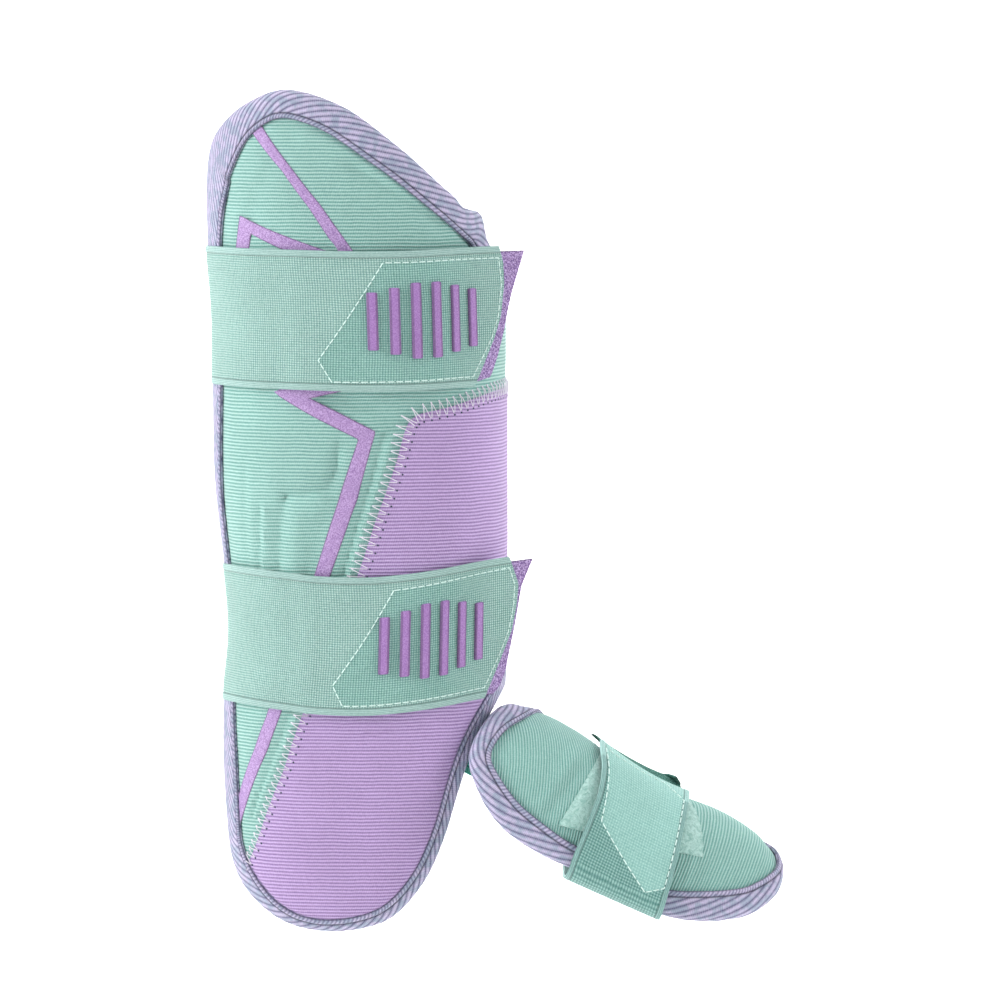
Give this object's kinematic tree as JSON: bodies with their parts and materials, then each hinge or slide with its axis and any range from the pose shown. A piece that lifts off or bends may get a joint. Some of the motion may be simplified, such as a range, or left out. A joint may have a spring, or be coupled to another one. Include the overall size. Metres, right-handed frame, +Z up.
{
  "type": "leg guard",
  "caption": "Batter's leg guard for the right leg: a curved padded shin wall with wide elastic calf straps, and a small padded foot guard with a sole strap on an elastic link.",
  "frame": {"origin": "on the leg's axis, midway between the calf straps, where the leg holds the guard", "axes": "+X towards the toes, +Y towards the other leg, +Z up the leg"},
  "size_m": [0.2658, 0.1232, 0.3869],
  "materials": {
    "mint_cloth": "ribbed polyester over foam, matt",
    "lilac_cloth": "ribbed polyester, matt",
    "mint_elastic": "woven elastic, matt",
    "lilac_tape": "twill tape, matt",
    "purple_film": "speckled film, satin",
    "purple_hook": "hook tape, matt",
    "teal_hook": "hook tape, matt",
    "mint_loop": "brushed loop cloth, matt"
  },
  "bodies": {
    "root": {"shin_pad": "mint_cloth", "front_panel": "lilac_cloth", "shin_binding": "lilac_tape", "trim_stripe_top": "purple_film", "trim_stripe_zigzag": "purple_film", "trim_stripe_chevron": "purple_film", "upper_strap": "mint_elastic", "upper_hook_patch": "purple_hook", "lower_strap": "mint_elastic", "lower_hook_patch": "purple_hook", "foot_pad": "mint_cloth", "foot_binding": "lilac_tape", "foot_loop_patch": "mint_loop", "foot_strap": "mint_elastic", "foot_hook_patch": "teal_hook", "ankle_link": "mint_elastic", "upper_grip_rib_1": "purple_film", "upper_grip_rib_2": "purple_film", "upper_grip_rib_3": "purple_film", "upper_grip_rib_4": "purple_film", "upper_grip_rib_5": "purple_film", "upper_grip_rib_6": "purple_film", "lower_grip_rib_1": "purple_film", "lower_grip_rib_2": "purple_film", "lower_grip_rib_3": "purple_film", "lower_grip_rib_4": "purple_film", "lower_grip_rib_5": "purple_film", "lower_grip_rib_6": "purple_film"}
  },
  "joints": []
}
